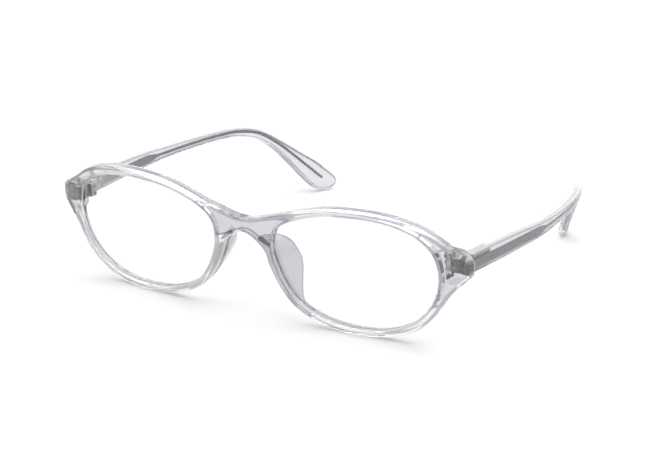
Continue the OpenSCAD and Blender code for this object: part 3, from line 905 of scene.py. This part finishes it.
settle(make_front(), "frame_front", "clear_plastic", "front", "nose_pad_left", "nose_pad_right")
for name, side in (("left", 1), ("right", -1)):
    arm = name + "_arm"
    settle(make_lens(f"lens_{name}_clear", side), "frame_front", "lens", f"lens_{name}")
    settle(make_temple(f"temple_{name}_clear", side), arm, "clear_plastic", f"temple_{name}")
    settle(make_wire(f"wire_{name}_steel", side), arm, "core_metal", f"core_wire_{name}")
    dress_metal(f"front_hinge_{name}", shaded_hinge_metals[name], BLOCK_ROUND)
    dress_metal(f"temple_hinge_{name}", leaf_metal, LEAF_ROUND)
    dress_metal(f"hinge_screw_{name}", screw_metal, SCREW_ROUND)


# Floor, background and light, in metres
FLOOR_SIZE = 3.0
FLOOR_GLOW = 0.2
FLOOR_COLOUR = 0.62
WORLD_LIGHT = 0.75
SOFTBOX_PLACE = (0, 0.1, 1.3)
SOFTBOX_SIZE = (2.4, 2.4)
SOFTBOX_POWER = 30
CARD_AIM = (0, 0, 0.02)
CARDS = {
    "dark_front": dict(place=(0.35, -1.0, 0.25), size=(0.7, 0.3), strength=0.08),
    "dark_left": dict(place=(-1.0, -0.1, 0.3), size=(0.4, 0.3), strength=0.1),
    "bright_back": dict(place=(-0.7, 1.25, 0.34), size=(2.2, 0.68), strength=1.6, through=False),
}


def seen_directly(tree):
    """1 for rays from the camera, from gloss and through clear plastic, and 0 for others."""
    path = tree.nodes.new("ShaderNodeLightPath")
    total = path.outputs["Is Camera Ray"]
    for name in ("Is Glossy Ray", "Is Transmission Ray"):
        more = tree.nodes.new("ShaderNodeMath")
        more.operation = "MAXIMUM"
        tree.links.new(total, more.inputs[0])
        tree.links.new(path.outputs[name], more.inputs[1])
        total = more.outputs[0]
    return total


def glow_material(name, strength):
    """A material that only glows, with its glow and its output for what is added to it."""
    made, tree, shader, out = new_material(name)
    tree.nodes.remove(shader)
    glow = tree.nodes.new("ShaderNodeEmission")
    glow.inputs["Strength"].default_value = strength
    tree.links.new(glow.outputs[0], out.inputs["Surface"])
    return made, tree, glow, out


def make_floor():
    bpy.ops.mesh.primitive_plane_add(size=FLOOR_SIZE, location=(0, 0, 0))
    floor = bpy.context.object
    floor.name = "floor"
    made, tree, glow, out = glow_material("floor_white", FLOOR_GLOW)
    matt = tree.nodes.new("ShaderNodeBsdfDiffuse")
    matt.inputs["Color"].default_value = (FLOOR_COLOUR, FLOOR_COLOUR, FLOOR_COLOUR, 1)
    both = tree.nodes.new("ShaderNodeAddShader")
    tree.links.new(matt.outputs[0], both.inputs[0])
    tree.links.new(glow.outputs[0], both.inputs[1])
    tree.links.new(both.outputs[0], out.inputs["Surface"])
    floor.data.materials.append(made)


def make_world():
    """White for rays that see it directly, and a softer light on the object."""
    world = bpy.data.worlds.new("studio")
    bpy.context.scene.world = world
    world.use_nodes = True
    tree = world.node_tree
    back = tree.nodes["Background"]
    strength = spread(tree, seen_directly(tree), WORLD_LIGHT, 1, 0, 1)
    tree.links.new(strength, back.inputs["Strength"])
    back.inputs["Color"].default_value = (1, 1, 1, 1)


def turned_to(place, aim, axis):
    return (Vector(aim) - Vector(place)).to_track_quat(axis, "Y").to_euler()


def add_softbox():
    data = bpy.data.lights.new("softbox", "AREA")
    data.shape = "RECTANGLE"
    data.size, data.size_y = SOFTBOX_SIZE
    data.energy = SOFTBOX_POWER
    lamp = bpy.data.objects.new("softbox", data)
    lamp.location = SOFTBOX_PLACE
    lamp.rotation_euler = turned_to(SOFTBOX_PLACE, (0, 0, 0), "-Z")
    bpy.context.scene.collection.objects.link(lamp)


def add_card(name, place, size, strength, through=True):
    """A dark or bright part of the studio that only gloss sees, and with through plastic too."""
    bpy.ops.mesh.primitive_plane_add(size=1, location=place)
    card = bpy.context.object
    card.name = name
    card.scale = (*size, 1)
    card.rotation_euler = turned_to(place, CARD_AIM, "Z")
    card.data.materials.append(glow_material(name, strength)[0])
    card.visible_camera = False
    card.visible_diffuse = False
    card.visible_transmission = through
    card.visible_shadow = False


make_floor()
make_world()
add_softbox()
for name, card in CARDS.items():
    add_card(name, **card)

# Camera: place in millimetres and the angles it looks along
CAMERA_PLACE = (294.93, -543.67, 201.88)
CAMERA_AZIMUTH = math.radians(29.361)
CAMERA_ELEVATION = math.radians(17.376)
CAMERA_ROLL = math.radians(1.509)
CAMERA_LENS = 113.24
CAMERA_SENSOR = 36
CAMERA_NEAR = 0.01
CAMERA_FAR = 20


def make_camera():
    data = bpy.data.cameras.new("camera")
    data.sensor_width = CAMERA_SENSOR
    data.lens = CAMERA_LENS
    data.clip_start = CAMERA_NEAR
    data.clip_end = CAMERA_FAR
    camera = bpy.data.objects.new("camera", data)
    bpy.context.scene.collection.objects.link(camera)
    a, e = CAMERA_AZIMUTH, CAMERA_ELEVATION
    back = Vector((math.sin(a) * math.cos(e), -math.cos(a) * math.cos(e), math.sin(e)))
    right = (-back).cross(Vector((0, 0, 1))).normalized()
    up = right.cross(-back)
    c, s = math.cos(CAMERA_ROLL), math.sin(CAMERA_ROLL)
    turned_right = c * right + s * up
    turned_up = c * up - s * right
    axes = Matrix((turned_right, turned_up, back)).transposed()
    camera.matrix_world = Matrix.Translation(Vector(CAMERA_PLACE) * MM) @ axes.to_4x4()
    bpy.context.scene.camera = camera


make_camera()
bpy.context.scene.view_settings.view_transform = "Standard"
